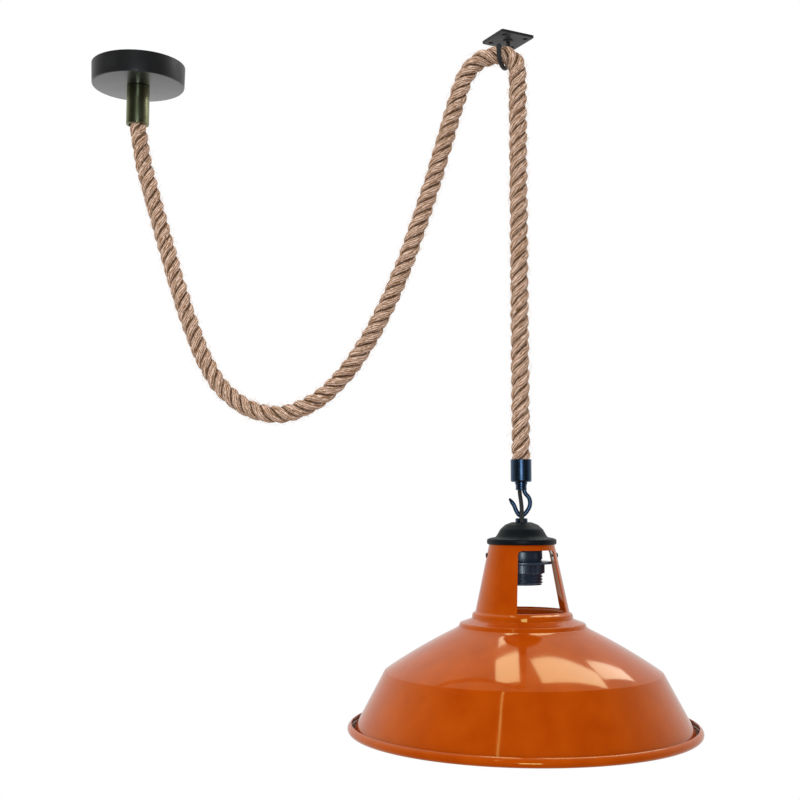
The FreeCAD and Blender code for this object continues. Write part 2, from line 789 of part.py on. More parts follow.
def shade_ring():
    """Ring on the holder's thread: a wide flange above a knurled band."""
    flange_bottom = ring_flange_top - ring_flange_height
    ring = revolved([
        (holder_radius, ring_flange_top), (ring_flange_radius - 0.6, ring_flange_top),
        (ring_flange_radius, ring_flange_top - 0.6), (ring_flange_radius, flange_bottom + 0.6),
        (ring_flange_radius - 0.6, flange_bottom), (ring_band_radius, flange_bottom),
        (ring_band_radius, ring_band_bottom + 0.6), (ring_band_radius - 0.6, ring_band_bottom),
        (holder_radius, ring_band_bottom),
    ])
    groove = Part.makeBox(2.0, 2.0, flange_bottom - ring_band_bottom, V(-1.0, -1.0, ring_band_bottom - 1.2))
    groove.rotate(V(0, 0, 0), UP, 45)
    groove.translate(V(ring_band_radius + 0.6, 0, 0))
    for i in range(ring_grooves):
        notch = groove.copy()
        notch.rotate(V(0, 0, 0), UP, 360 * i / ring_grooves)
        ring = ring.cut(notch)
    return at_lamp(ring)


makers = [
    ceiling_rose, mounting_bracket, bracket_nipple, nipple_nuts, terminal_block, terminal_screws,
    flex_tails, supply_flex, cord_grip, grip_set_screw, hook_plate, ceiling_hook, rope_swag,
    rope_drop, rope_ferrule, link_ring, link_hook, link_flex, cap_loop, gallery_cap, loop_nuts,
    shade, shade_carrier, neck_screws, lampholder_cap, lampholder_body, socket_insert,
    socket_screws, screw_shell, centre_contact, shade_ring,
]

os.makedirs("parts", exist_ok=True)
for maker in makers:
    shape = maker()
    print(maker.__name__, "valid", shape.isValid(), "solids", len(shape.Solids),
          "volume", round(shape.Volume, 1))
    shape.exportStep("parts/" + maker.__name__ + ".step")
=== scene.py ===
import math

import bpy
import numpy as np
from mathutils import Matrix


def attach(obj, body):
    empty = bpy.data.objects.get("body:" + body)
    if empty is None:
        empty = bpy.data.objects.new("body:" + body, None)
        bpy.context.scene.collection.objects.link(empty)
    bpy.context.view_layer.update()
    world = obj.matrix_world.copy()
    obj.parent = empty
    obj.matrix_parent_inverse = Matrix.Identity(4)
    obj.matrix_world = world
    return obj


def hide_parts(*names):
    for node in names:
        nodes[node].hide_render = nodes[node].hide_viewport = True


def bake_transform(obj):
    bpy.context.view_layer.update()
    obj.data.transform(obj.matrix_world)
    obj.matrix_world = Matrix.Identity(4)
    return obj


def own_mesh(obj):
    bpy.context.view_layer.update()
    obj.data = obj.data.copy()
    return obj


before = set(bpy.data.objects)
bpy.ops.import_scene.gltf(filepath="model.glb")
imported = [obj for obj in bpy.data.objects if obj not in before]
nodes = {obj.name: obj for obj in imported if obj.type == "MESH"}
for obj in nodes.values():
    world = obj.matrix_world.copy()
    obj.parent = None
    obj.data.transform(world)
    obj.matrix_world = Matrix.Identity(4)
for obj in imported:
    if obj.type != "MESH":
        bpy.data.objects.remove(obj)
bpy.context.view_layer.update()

# ---- Camera ---------------------------------------------------------------------------------
# It stands a little over a metre in front of the lamp, between rose and shade, and looks
# slightly up towards the ceiling.
camera = bpy.data.objects.new("camera", bpy.data.cameras.new("camera"))
bpy.context.scene.collection.objects.link(camera)
camera.data.sensor_width = 36.0
camera.data.lens = 54.0
camera.location = (0.2788, -1.2445, -0.4661)
camera.rotation_euler = (math.radians(95.0), 0.0, 0.0)
bpy.context.scene.camera = camera


# ---- Jute rope ------------------------------------------------------------------------------
# One three-strand rope, right-hand laid from brown jute yarn, that carries the lamp. It leaves
# the cord grip, swags up to the ceiling hook, lies over it and drops into the ferrule.
lamp_x, lamp_y = 0.395, -0.091
swag_span = math.hypot(lamp_x, lamp_y)
swag_way = np.array([lamp_x / swag_span, lamp_y / swag_span, 0.0])
rope_radius = 0.009
rope_pitch = 0.039
rope_route = [
    (0.0, -0.0443), (0.0, -0.082), (0.028, -0.174), (0.057, -0.266), (0.087, -0.336),
    (0.122, -0.368), (0.163, -0.378), (0.205, -0.3615), (0.243, -0.322), (0.282, -0.252),
    (0.316, -0.158), (0.341, -0.074), (0.3515, -0.041), (0.365, -0.0245), (0.381, -0.021),
    (0.3965, -0.0218), (swag_span, -0.0315), (swag_span, -0.0445), (swag_span, -0.152),
    (swag_span, -0.300), (swag_span, -0.4411),
]


def line_along(route, closeness=24):
    """Points of the quadratic spline whose control points are the route's, from end to end."""
    spline_data = bpy.data.curves.new("route", "CURVE")
    spline_data.dimensions = "3D"
    spline_data.resolution_u = closeness
    spline = spline_data.splines.new("NURBS")
    spline.points.add(len(route) - 1)
    spline.points.foreach_set("co", np.array([(*p, 1.0) for p in route]).ravel())
    spline.order_u = 3
    spline.use_endpoint_u = True
    line = bpy.data.objects.new("route", spline_data)
    flat = bpy.data.meshes.new_from_object(line)
    points = np.empty(len(flat.vertices) * 3)
    flat.vertices.foreach_get("co", points)
    bpy.data.objects.remove(line)
    return points.reshape(-1, 3)


def evenly(points, step):
    """The same line with its points one step apart, and each point's distance from the start."""
    gone = np.concatenate([[0.0], np.cumsum(np.linalg.norm(np.diff(points, axis=0), axis=1))])
    count = max(3, int(round(gone[-1] / step)) + 1)
    along = np.linspace(0.0, gone[-1], count)
    return np.stack([np.interp(along, gone, points[:, k]) for k in range(3)], -1), along


def mesh_piece(name, points, faces, finish, smooth_under=40.0):
    """A named object in the row frame from arrays of points and faces."""
    data = bpy.data.meshes.new(name)
    data.from_pydata(points.tolist(), [], faces if isinstance(faces, list) else faces.tolist())
    data.shade_smooth()
    data.set_sharp_from_angle(angle=math.radians(smooth_under))
    data.materials.append(finish)
    piece = bpy.data.objects.new(name, data)
    bpy.context.scene.collection.objects.link(piece)
    return piece


def closed_tube(rings, around, start=0):
    """Faces of a closed tube: four-sided ones round its rings, then one across each end."""
    i, j = np.meshgrid(np.arange(rings - 1), np.arange(around), indexing="ij")
    a = start + i * around + j
    b = start + i * around + (j + 1) % around
    last = start + (rings - 1) * around
    ends = [list(range(start + around - 1, start - 1, -1)), list(range(last, last + around))]
    return np.stack([a, b, b + around, a + around], -1).reshape(-1, 4).tolist() + ends


rope_line, rope_gone = evenly(line_along([(*(swag_way * s)[:2], z) for s, z in rope_route]), step=0.0014)
over_start = int(np.argmax((rope_gone > 0.5) & (rope_line[:, 2] > -0.0445)))


def laid_rope(name, first, last):
    """Three strands wound round the rope's line between two of its points.

    A strand's centre circles the line at strand_way once a pitch, right-handed. Its outline is a
    circle cut off by the planes where it meets its neighbours, so the strands press together
    with a hair's breadth between them, and its size wavers by a few hundredths on the way.
    """
    strand_way = 0.0031
    strand_radius = 0.0059
    strand_gap = 0.00006
    around = 20
    line = rope_line[first:last]
    gone = rope_gone[first:last]
    ahead = np.gradient(rope_line, axis=0)[first:last]
    ahead /= np.linalg.norm(ahead, axis=1)[:, None]
    side = np.array([-swag_way[1], swag_way[0], 0.0])
    other = np.cross(ahead, side)
    turn = np.linspace(-np.pi, np.pi, around, endpoint=False)
    flat = np.maximum(np.cos(turn[:, None] - np.radians([150.0, -150.0])), 1e-6).max(1)
    reach = np.minimum(strand_radius, strand_way * math.sin(math.pi / 3) / flat - strand_gap)
    points = []
    faces = []
    depth = []
    grain = []
    for k in range(3):
        phase = 2 * np.pi * (gone / rope_pitch + k / 3)
        wobble = 1 + 0.035 * np.sin(gone * 311.0 + k * 2.1) + 0.025 * np.sin(gone * 877.0 + k * 4.4)
        out_x = strand_way + reach[None] * wobble[:, None] * np.cos(turn)
        out_y = reach[None] * wobble[:, None] * np.sin(turn)
        c, s = np.cos(phase)[:, None], np.sin(phase)[:, None]
        flat_x, flat_y = out_x * c - out_y * s, out_x * s + out_y * c
        ring = line[:, None] + flat_x[..., None] * side + flat_y[..., None] * other[:, None]
        start = k * len(line) * around
        points.append(ring.reshape(-1, 3))
        faces += closed_tube(len(line), around, start)
        depth.append(np.hypot(flat_x, flat_y).ravel() / rope_radius)
        i, j = np.meshgrid(np.arange(len(line) - 1), np.arange(around), indexing="ij")
        u = gone[np.stack([i, i, i + 1, i + 1], -1)]
        v = np.stack([j, j + 1, j + 1, j], -1) / around
        grain.append(np.stack([u * 100.0 + 31.0 * k, v * 3.0], -1).reshape(-1, 2))
        grain.append(np.zeros((2 * around, 2)))
    piece = mesh_piece(name, np.concatenate(points), faces, jute, 180.0)
    uv = piece.data.uv_layers.new(name="yarn")
    uv.uv.foreach_set("vector", np.concatenate(grain).ravel().astype(np.float32))
    # Each point's distance from the rope's line, which the finish uses to paint shade into the grooves.
    groove_shade_depth = piece.data.attributes.new("depth", "FLOAT", "POINT")
    groove_shade_depth.data.foreach_set("value", np.concatenate(depth).astype(np.float32))
    return piece


def rope_fibres(name, first, last, count, seed):
    """Loose fibres that stand off the rope: thin three-sided hairs.

    A hair starts at a chance point near a strand's crest and runs along and across the rope. Its
    height is its lift times the way gone, times a factor that falls from 1.3 to 0.7.
    """
    chance = np.random.default_rng(seed)
    at = chance.integers(first, last - 1, count)
    ahead = np.gradient(rope_line, axis=0)[at]
    ahead /= np.linalg.norm(ahead, axis=1)[:, None]
    side = np.array([-swag_way[1], swag_way[0], 0.0])
    other = np.cross(ahead, side)
    strand = chance.integers(0, 3, count)
    spread = chance.normal(0.0, 0.45, count)
    angle = 2 * np.pi * (rope_gone[at] / rope_pitch + strand / 3) + spread
    out = np.cos(angle)[:, None] * side + np.sin(angle)[:, None] * other
    sideways = np.cross(ahead, out)
    length = chance.uniform(0.003, 0.009, count)
    lift = chance.uniform(0.1, 0.9, count)
    lean = chance.normal(0.6, 0.5, count)
    steps = np.linspace(0.0, 1.0, 4)
    way = ahead * chance.choice([-1.0, 1.0], count)[:, None] + sideways * lean[:, None]
    way /= np.linalg.norm(way, axis=1)[:, None]
    root = rope_line[at] + out * (rope_radius - 0.0007 - 0.0011 * np.abs(spread))[:, None]
    run = (length[:, None] * steps)[..., None]
    rise = (length * lift)[:, None] * steps * (1.3 - 0.6 * steps)
    spine = root[:, None] + way[:, None] * run + out[:, None] * rise[..., None]
    hair_radius = 0.0001
    thick = hair_radius * (1.0 - 0.6 * steps)
    corner = np.radians([0.0, 120.0, 240.0])
    across = np.cross(way, out)[:, None, None]
    ring = np.cos(corner)[:, None] * out[:, None, None] + np.sin(corner)[:, None] * across
    points = spine[:, :, None] + ring * thick[None, :, None, None]
    base = np.arange(count)[:, None, None] * 12
    hair = closed_tube(4, 3)
    faces = (base + np.array(hair[:-2])).reshape(-1, 4).tolist()
    faces += (base + np.array(hair[-2:])).reshape(-1, 3).tolist()
    return mesh_piece(name, points.reshape(-1, 3), faces, jute_hair, 180.0)


def jute_finish(name, light, dark_yarn_and_groove_shade):
    """Dry, brown, fibrous yarn: streaks along each strand, with painted shade darkening the grooves between
    strands.
    """
    material = bpy.data.materials.new(name)
    material.use_nodes = True
    tree = material.node_tree
    shader = tree.nodes["Principled BSDF"]
    shader.inputs["Roughness"].default_value = 0.92
    shader.inputs["Specular IOR Level"].default_value = 0.15
    uv = tree.nodes.new("ShaderNodeUVMap")
    uv.uv_map = "yarn"
    slant = tree.nodes.new("ShaderNodeMapping")
    slant.inputs["Rotation"].default_value = (0.0, 0.0, math.radians(16.0))
    slant.inputs["Scale"].default_value = (2.4, 4.0, 1.0)
    streaks = tree.nodes.new("ShaderNodeTexNoise")
    streaks.inputs["Scale"].default_value = 0.95
    streaks.inputs["Detail"].default_value = 4.0
    streaks.inputs["Roughness"].default_value = 0.62
    yarns = tree.nodes.new("ShaderNodeTexWave")
    yarns.bands_direction = "Y"
    yarns.inputs["Scale"].default_value = 0.32
    yarns.inputs["Distortion"].default_value = 9.0
    yarns.inputs["Detail"].default_value = 4.0
    yarns.inputs["Detail Scale"].default_value = 1.7
    depth = tree.nodes.new("ShaderNodeAttribute")
    depth.attribute_name = "depth"
    # Painted shade: the grooves between strands, found from each point's distance to the rope's line, get
    # the darkest yarn colour.
    groove_shade_mask = tree.nodes.new("ShaderNodeMapRange")
    groove_shade_mask.inputs["From Min"].default_value = 0.73
    groove_shade_mask.inputs["From Max"].default_value = 0.91
    colour = tree.nodes.new("ShaderNodeValToRGB")
    colour.color_ramp.elements[0].position = 0.33
    colour.color_ramp.elements[0].color = (*[1.9 * c for c in dark_yarn_and_groove_shade], 1.0)
    colour.color_ramp.elements[1].position = 0.60
    colour.color_ramp.elements[1].color = (*[1.55 * c for c in light], 1.0)
    blend = tree.nodes.new("ShaderNodeMath")
    blend.operation = "MULTIPLY_ADD"
    blend.inputs[2].default_value = 0.22
    # The darkest colour also tones the darker yarn streaks; here it is mixed in as painted shade towards
    # the grooves.
    shade = tree.nodes.new("ShaderNodeMix")
    shade.data_type = "RGBA"
    shade.inputs[6].default_value = (*dark_yarn_and_groove_shade, 1.0)
    height = tree.nodes.new("ShaderNodeMath")
    height.operation = "MULTIPLY_ADD"
    height.inputs[1].default_value = 0.6
    bump = tree.nodes.new("ShaderNodeBump")
    bump.inputs["Strength"].default_value = 0.6
    bump.inputs["Distance"].default_value = 0.0010
    link = tree.links.new
    link(uv.outputs["UV"], slant.inputs["Vector"])
    link(slant.outputs["Vector"], streaks.inputs["Vector"])
    link(slant.outputs["Vector"], yarns.inputs["Vector"])
    link(streaks.outputs["Fac"], blend.inputs[0])
    link(yarns.outputs["Fac"], blend.inputs[1])
    link(blend.outputs["Value"], colour.inputs["Fac"])
    link(depth.outputs["Fac"], groove_shade_mask.inputs["Value"])
    link(groove_shade_mask.outputs["Result"], shade.inputs["Factor"])
    link(colour.outputs["Color"], shade.inputs[7])
    link(shade.outputs[2], shader.inputs["Base Color"])
    link(streaks.outputs["Fac"], height.inputs[0])
    link(yarns.outputs["Fac"], height.inputs[2])
    link(height.outputs["Value"], bump.inputs["Height"])
    link(bump.outputs["Normal"], shader.inputs["Normal"])
    return material


def hair_finish(name, light):
    """Single fibres of the jute, a little paler than the yarn and uneven from place to place."""
    material = bpy.data.materials.new(name)
    material.use_nodes = True
    tree = material.node_tree
    shader = tree.nodes["Principled BSDF"]
    shader.inputs["Roughness"].default_value = 0.8
    place = tree.nodes.new("ShaderNodeTexCoord")
    patch = tree.nodes.new("ShaderNodeTexNoise")
    patch.inputs["Scale"].default_value = 160.0
    colour = tree.nodes.new("ShaderNodeValToRGB")
    colour.color_ramp.elements[0].color = (*[0.8 * c for c in light], 1.0)
    colour.color_ramp.elements[1].color = (*[1.5 * c for c in light], 1.0)
    tree.links.new(place.outputs["Object"], patch.inputs["Vector"])
    tree.links.new(patch.outputs["Fac"], colour.inputs["Fac"])
    tree.links.new(colour.outputs["Color"], shader.inputs["Base Color"])
    return material


jute = jute_finish("jute_yarn", (0.45, 0.318, 0.242), (0.13, 0.065, 0.03))
jute_hair = hair_finish("jute_hair", (0.62, 0.43, 0.30))
rope_end = len(rope_line)
fibres_per_metre = 4200
swag_length = float(rope_gone[over_start])
fall_length = float(rope_gone[-1] - rope_gone[over_start])

swag = laid_rope("rope_swag_strands", 0, over_start + 1)
swag_fuzz = rope_fibres("rope_swag_fibres", 18, over_start, int(fibres_per_metre * swag_length), 7)
for piece in (swag, swag_fuzz):
    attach(piece, "root")
    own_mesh(piece)
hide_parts("rope_swag")

fall = laid_rope("rope_fall_strands", over_start, rope_end)
fall_fuzz = rope_fibres("rope_fall_fibres", over_start, rope_end - 14,
                        int(fibres_per_metre * fall_length), 8)
for piece in (fall, fall_fuzz):
    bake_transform(piece)
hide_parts("rope_drop")


# ---- Ceiling rose ---------------------------------------------------------------------------
# A shallow cup spun from sheet steel and sprayed satin black, with a polished underside. The
# cord grip below it holds it up against the ceiling.


def closed_grid(rows, around):
    """Faces of a grid of points whose rows close round and whose last row joins the first."""
    i, j = np.meshgrid(np.arange(rows), np.arange(around), indexing="ij")
    a, b = i * around + j, i * around + (j + 1) % around
    c, d = (i + 1) % rows * around + (j + 1) % around, (i + 1) % rows * around + j
    return np.stack([a, b, c, d], -1).reshape(-1, 4)


def turned(profile, centre=(0.0, 0.0), steps=160):
    """Closed ring of a profile carried round an upright axis.

    Point i of the profile, at radius r and height z, becomes the circle of that radius about the
    axis at that height. A clockwise profile is reversed first, so that its faces look outwards.
    """
    profile = np.asarray(profile, float)
    ahead = np.roll(profile, -1, axis=0)
    area = np.sum(profile[:, 0] * ahead[:, 1] - ahead[:, 0] * profile[:, 1])
    if area < 0:
        profile = profile[::-1]
    turn = np.linspace(0.0, 2 * np.pi, steps, endpoint=False)
    x = centre[0] + profile[:, :1] * np.cos(turn)
    y = centre[1] + profile[:, :1] * np.sin(turn)
    z = profile[:, 1:] + 0 * turn
    return np.stack([x, y, z], -1).reshape(-1, 3), closed_grid(len(profile), steps)


def softened(corners, steps=5):
    """Outline through corners (radius, height, rounding), each corner replaced by an arc.

    The arc's centre lies on the corner's bisector, at the rounding over the sine of half the
    corner's angle, and the arc runs between the points where the sides touch it.
    """
    corners = [(*c, 0.0)[:3] for c in corners]
    outline = []
    for before, here, after in zip(corners[-1:] + corners[:-1], corners, corners[1:] + corners[:1]):
        point, rounding = np.array(here[:2]), here[2]
        into = np.array(before[:2]) - point
        out = np.array(after[:2]) - point
        into /= np.linalg.norm(into)
        out /= np.linalg.norm(out)
        half = math.acos(max(-1.0, min(1.0, float(into @ out)))) / 2
        if rounding <= 0 or abs(half - math.pi / 2) < 1e-3:
            outline.append(point)
            continue
        reach = rounding / math.tan(half)
        middle = point + (into + out) / np.linalg.norm(into + out) * rounding / math.sin(half)
        first = point + into * reach - middle
        last = point + out * reach - middle
        swing = math.atan2(first[0] * last[1] - first[1] * last[0], float(first @ last))
        for part in np.linspace(0.0, swing, steps + 1):
            c, s = math.cos(part), math.sin(part)
            turned_arm = (c * first[0] - s * first[1], s * first[0] + c * first[1])
            outline.append(middle + np.array(turned_arm))
    return np.array(outline)


def paint_grain_group():
    """Shader group of a sprayed coat: a fine pebbled height, and patches that vary the gloss."""
    group = bpy.data.node_groups.new("paint_grain", "ShaderNodeTree")
    group.interface.new_socket("Grain per metre", in_out="INPUT", socket_type="NodeSocketFloat")
    group.interface.new_socket("Smoothest", in_out="INPUT", socket_type="NodeSocketFloat")
    group.interface.new_socket("Roughest", in_out="INPUT", socket_type="NodeSocketFloat")
    group.interface.new_socket("Height", in_out="OUTPUT", socket_type="NodeSocketFloat")
    group.interface.new_socket("Roughness", in_out="OUTPUT", socket_type="NodeSocketFloat")
    group.interface.new_socket("Patches", in_out="OUTPUT", socket_type="NodeSocketFloat")
    new, link = group.nodes.new, group.links.new
    given = new("NodeGroupInput")
    made = new("NodeGroupOutput")
    place = new("ShaderNodeTexCoord")
    pebbles = new("ShaderNodeTexNoise")
    pebbles.inputs["Detail"].default_value = 3.0
    patches = new("ShaderNodeTexNoise")
    patches.inputs["Scale"].default_value = 38.0
    patches.inputs["Detail"].default_value = 4.0
    gloss = new("ShaderNodeMapRange")
    gloss.inputs["From Min"].default_value = 0.3
    gloss.inputs["From Max"].default_value = 0.7
    link(place.outputs["Object"], pebbles.inputs["Vector"])
    link(place.outputs["Object"], patches.inputs["Vector"])
    link(given.outputs["Grain per metre"], pebbles.inputs["Scale"])
    link(patches.outputs["Fac"], gloss.inputs["Value"])
    link(given.outputs["Smoothest"], gloss.inputs["To Min"])
    link(given.outputs["Roughest"], gloss.inputs["To Max"])
    link(pebbles.outputs["Fac"], made.inputs["Height"])
    link(gloss.outputs["Result"], made.inputs["Roughness"])
    link(patches.outputs["Fac"], made.inputs["Patches"])
    return group


paint_grain = paint_grain_group()


def coat(name, dull, bright, smoothest, roughest, grain, relief, metal=0.0, mirror=0.5):
    """A sprayed, plated or moulded finish: colour patches, uneven gloss and a fine grain."""
    material = bpy.data.materials.new(name)
    material.use_nodes = True
    tree = material.node_tree
    shader = tree.nodes["Principled BSDF"]
    shader.inputs["Metallic"].default_value = metal
    shader.inputs["Specular IOR Level"].default_value = mirror
    texture = tree.nodes.new("ShaderNodeGroup")
    texture.node_tree = paint_grain
    texture.inputs["Grain per metre"].default_value = grain
    texture.inputs["Smoothest"].default_value = smoothest
    texture.inputs["Roughest"].default_value = roughest
    colour = tree.nodes.new("ShaderNodeValToRGB")
    colour.color_ramp.elements[0].position = 0.3
    colour.color_ramp.elements[0].color = (*dull, 1.0)
    colour.color_ramp.elements[1].position = 0.7
    colour.color_ramp.elements[1].color = (*bright, 1.0)
    bump = tree.nodes.new("ShaderNodeBump")
    bump.inputs["Strength"].default_value = 0.4
    bump.inputs["Distance"].default_value = relief
    tree.links.new(texture.outputs["Patches"], colour.inputs["Fac"])
    tree.links.new(colour.outputs["Color"], shader.inputs["Base Color"])
    tree.links.new(texture.outputs["Roughness"], shader.inputs["Roughness"])
    tree.links.new(texture.outputs["Height"], bump.inputs["Height"])
    tree.links.new(bump.outputs["Normal"], shader.inputs["Normal"])
    return material


satin_black = coat("satin_black_paint", (0.010, 0.010, 0.010), (0.016, 0.016, 0.016), 0.34, 0.42,
                   2600.0, 0.00003, mirror=0.3)
tree = satin_black.node_tree
rose_shader = tree.nodes["Principled BSDF"]
rose_shader.inputs["Coat Roughness"].default_value = 0.2
place = tree.nodes.new("ShaderNodeTexCoord")
split = tree.nodes.new("ShaderNodeSeparateXYZ")
polish = tree.nodes.new("ShaderNodeMapRange")
polish.inputs["From Min"].default_value = -0.0221
polish.inputs["From Max"].default_value = -0.0205
polish.inputs["To Min"].default_value = 1.0
polish.inputs["To Max"].default_value = 0.0
tree.links.new(place.outputs["Object"], split.inputs["Vector"])
tree.links.new(split.outputs["Z"], polish.inputs["Value"])
tree.links.new(polish.outputs["Result"], rose_shader.inputs["Coat Weight"])
rose_radius, rose_height, rose_wall, rose_taper = 0.049, 0.0224, 0.0014, 0.0006
rose = mesh_piece("rose_cup", *turned(softened([
    (0.005, -rose_height), (rose_radius - rose_taper, -rose_height, 0.0016),
    (rose_radius, 0.0, 0.0003), (rose_radius - rose_wall, 0.0, 0.0003),
    (rose_radius - rose_taper - rose_wall, -rose_height + rose_wall, 0.0005),
    (0.005, -rose_height + rose_wall),
])), satin_black)
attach(rose, "root")
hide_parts("ceiling_rose")


# ---- Inside the rose ------------------------------------------------------------------------
# A zinc plated strap bracket, a brass nipple with steel nuts, a moulded terminal block with
# brass screws and the cores of the flex. They only show from above.


def finish_as(finish, *names):
    """Give solids that show as they are one finish."""
    for name in names:
        nodes[name].data.materials.clear()
        nodes[name].data.materials.append(finish)


zinc = coat("zinc_plate", (0.45, 0.45, 0.44), (0.62, 0.62, 0.60), 0.28, 0.45, 1500.0, 0.00002, metal=1.0)
brass = coat("turned_brass", (0.55, 0.38, 0.14), (0.72, 0.53, 0.22), 0.22, 0.38, 1800.0, 0.00001, metal=1.0)
moulding = coat("white_moulding", (0.72, 0.71, 0.67), (0.80, 0.79, 0.75), 0.38, 0.5, 1800.0, 0.00002)
core_brown = coat("core_sleeve", (0.17, 0.07, 0.03), (0.22, 0.10, 0.05), 0.4, 0.5, 1200.0, 0.00002)
black_sheath = coat("black_sheath", (0.012, 0.012, 0.012), (0.02, 0.02, 0.02), 0.42, 0.55, 1200.0, 0.00003)
finish_as(zinc, "mounting_bracket", "nipple_nuts", "grip_set_screw")
finish_as(brass, "bracket_nipple", "terminal_screws")
finish_as(moulding, "terminal_block")
finish_as(core_brown, "flex_tails")
finish_as(black_sheath, "supply_flex")


# ---- Cord grip ------------------------------------------------------------------------------
# A turned steel sleeve on the nipple, plated an olive black, with a deep bore that holds the
# rope. A small set screw in its back bites on the rope.
olive_black = coat("olive_black_nickel", (0.22, 0.23, 0.12), (0.30, 0.31, 0.18), 0.26, 0.36,
                   2600.0, 0.00003, metal=1.0)
grip = mesh_piece("grip_sleeve", *turned(softened([
    (0.005, -0.0224), (0.012, -0.0224, 0.0009), (0.012, -0.0643, 0.0010), (0.00945, -0.0643, 0.0005),
    (0.00945, -0.0443), (0.003, -0.0443), (0.003, -0.0413), (0.006, -0.0403), (0.006, -0.0304),
    (0.005, -0.0304),
]), steps=96), olive_black)
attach(grip, "root")
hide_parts("cord_grip")


# ---- Hook plate and ceiling hook -------------------------------------------------------------
# A square steel plate, screwed to the ceiling through four holes, and an open hook of round
# bar that is riveted into it. Both are dipped in matt black.
matt_black = coat("matt_black_dip", (0.010, 0.010, 0.011), (0.020, 0.020, 0.022), 0.38, 0.55,
                  1600.0, 0.00005)
finish_as(matt_black, "hook_plate")


def bent_bar(name, points, radii, finish, around=32):
    """Round bar along a line of points, with a radius for each point and a flat face at each end.

    The rings stand square to the line, and are carried along it without twisting.
    """
    points = np.asarray(points, float)
    radii = np.broadcast_to(np.asarray(radii, float), len(points))
    ahead = np.gradient(points, axis=0)
    ahead /= np.linalg.norm(ahead, axis=1)[:, None]
    side = np.cross(ahead[0], (0.3, 0.9, 0.2))
    sides = []
    for way in ahead:
        side = side - way * (side @ way)
        side = side / np.linalg.norm(side)
        sides.append(side)
    sides = np.array(sides)
    others = np.cross(ahead, sides)
    turn = np.linspace(0.0, 2 * np.pi, around, endpoint=False)
    rings = points[:, None] + radii[:, None, None] * (
        np.cos(turn)[:, None] * sides[:, None] + np.sin(turn)[:, None] * others[:, None])
    return mesh_piece(name, rings.reshape(-1, 3), closed_tube(len(points), around), finish, 50.0)


hook_wire, hook_radius, hook_centre_z = 0.0022, 0.0123, -0.0219
hook_turn = math.radians(-116.7)
hook_place = swag_way * 0.3915
hook_bend = np.linspace(np.pi, 2 * np.pi, 40)
hook_line = np.concatenate([
    np.stack([np.full(12, -hook_radius), np.linspace(0.0, hook_centre_z, 12, endpoint=False)], -1),
    np.stack([hook_radius * np.cos(hook_bend), hook_centre_z + hook_radius * np.sin(hook_bend)], -1),
    np.stack([np.full(8, hook_radius), hook_centre_z + np.linspace(0.0006, 0.0083, 8)], -1),
])
hook_points = np.stack([
    hook_place[0] + hook_line[:, 0] * math.cos(hook_turn),
    hook_place[1] + hook_line[:, 0] * math.sin(hook_turn),
    hook_line[:, 1],
], -1)
hook_bulge = np.full(len(hook_points), hook_wire)
hook_bulge[-6:] = [0.0023, 0.0026, 0.0027, 0.0027, 0.0024, 0.0012]
hook = bent_bar("hook_bar", hook_points, hook_bulge, matt_black)
collar = mesh_piece("hook_collar", *turned(softened([
    (0.0021, -0.0025), (0.005, -0.0025, 0.0002), (0.005, -0.0033, 0.0005),
    (0.0024, -0.0042, 0.0004), (0.0021, -0.0042),
]), centre=(hook_points[0, 0], hook_points[0, 1]), steps=48), matt_black)
for piece in (hook, collar):
    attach(piece, "root")
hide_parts("ceiling_hook")


# ---- Ferrule and neck -----------------------------------------------------------------------
# A turned cup crimped on the rope's end, a thin ring nut and the grooved neck of the hook below
# it, all of steel plated with a blue-black nickel.
blue_black = coat("blue_black_nickel", (0.05, 0.085, 0.14), (0.08, 0.13, 0.21), 0.27, 0.34,
                   900.0, 0.00003, metal=1.0)
lamp_axis = (lamp_x, lamp_y)
ferrule = mesh_piece("ferrule_cup", *turned(softened([
    (0.0049, -0.4441), (0.010, -0.4441, 0.0016), (0.010, -0.4225, 0.0003), (0.0092, -0.4225, 0.0003),
    (0.0092, -0.4411), (0.0049, -0.4411),
]), centre=lamp_axis, steps=96), blue_black)
ring = mesh_piece("neck_ring", *turned(softened([
    (0.0049, -0.4441), (0.0059, -0.4441, 0.0004), (0.0059, -0.4464, 0.0004), (0.0049, -0.4464),
]), centre=lamp_axis, steps=64), blue_black)
neck = mesh_piece("hook_neck", *turned(softened([
    (0.0005, -0.4412), (0.0048, -0.4412), (0.0048, -0.4464), (0.0053, -0.4464, 0.0002),
    (0.0053, -0.4484, 0.0002), (0.0047, -0.4488, 0.0003), (0.0053, -0.4493, 0.0002),
    (0.0053, -0.4518, 0.0006), (0.0005, -0.4518),
]), centre=lamp_axis, steps=64), blue_black)
for piece, node in ((ferrule, "rope_ferrule"), (ring, "link_ring")):
    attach(piece, "hanger")
    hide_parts(node)
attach(neck, "hanger")


# ---- Link hook ------------------------------------------------------------------------------
# A cast open hook under the neck, plated the same blue-black, whose point flares out to the left
# as a lip. It carries the loop of the lamp.
saddle_z = -0.4759
link_route = [
    (0.0026, -0.4495), (0.0026, -0.4542), (0.0080, -0.4592), (0.0086, -0.4665), (0.0052, -0.4725),
    (0.0016, -0.4762), (-0.0022, -0.4762), (-0.0050, -0.4716), (-0.0068, -0.4668), (-0.0084, -0.4642),
    (-0.0116, -0.4598),
]
link_points, link_gone = evenly(line_along([(x, 0.0, z) for x, z in link_route]), step=0.0007)
link_left = link_gone[-1] - link_gone
link_radii = np.where(link_left < 0.0046, 0.00095 + 0.00115 * np.clip(link_left / 0.0046, 0, 1), 0.0021)
link_radii[-1] = 0.0005
link_bar = bent_bar("link_hook_bar", link_points + (*lamp_axis, 0.0), link_radii, blue_black)
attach(link_bar, "hanger")
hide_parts("link_hook")
